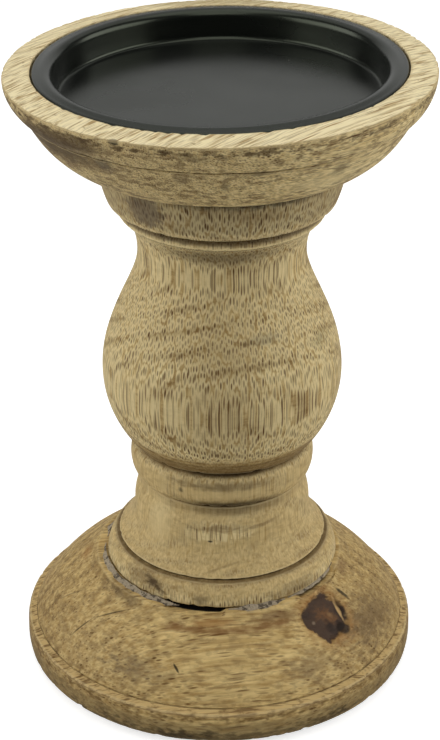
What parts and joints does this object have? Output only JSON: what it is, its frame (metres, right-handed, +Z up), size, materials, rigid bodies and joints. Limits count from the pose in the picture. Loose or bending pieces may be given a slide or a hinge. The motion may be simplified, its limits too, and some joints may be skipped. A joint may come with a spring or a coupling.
{
  "type": "candle holder",
  "caption": "Turned wooden pillar-candle holder: domed foot, baluster stem and shallow dish with a black sheet-steel candle plate that lifts out.",
  "frame": {"origin": "centre of the holder on the surface it stands on, under the felt pads", "axes": "+Z up along the turning axis; -Y is the side that faces the picture's camera; +X to its right"},
  "size_m": [0.1, 0.1, 0.1574],
  "materials": {
    "foot_wood": "turned mango wood, grain across, matt wax",
    "stem_wood": "turned mango wood, grain upright, matt wax",
    "dish_wood": "turned mango wood, grain across, matt wax",
    "filler": "dried wood filler, grey and rough",
    "black_steel": "satin black powder coat on pressed steel",
    "zinc_steel": "zinc-plated steel",
    "felt": "pressed brown wool felt"
  },
  "bodies": {
    "stand": {"base": "foot_wood", "stem": "stem_wood", "dish": "dish_wood", "seam_filler": "filler", "base_screw": "zinc_steel", "base_washer": "zinc_steel", "dish_screw": "zinc_steel", "dish_washer": "zinc_steel", "felt_pad_1": "felt", "felt_pad_2": "felt", "felt_pad_3": "felt", "felt_pad_4": "felt"},
    "plate": {"candle_plate": "black_steel"}
  },
  "joints": [
    {"name": "plate_lift", "type": "slide", "parent": "stand", "child": "plate", "axis": [0, 0, 1], "range_m": [0, 0.04]}
  ]
}
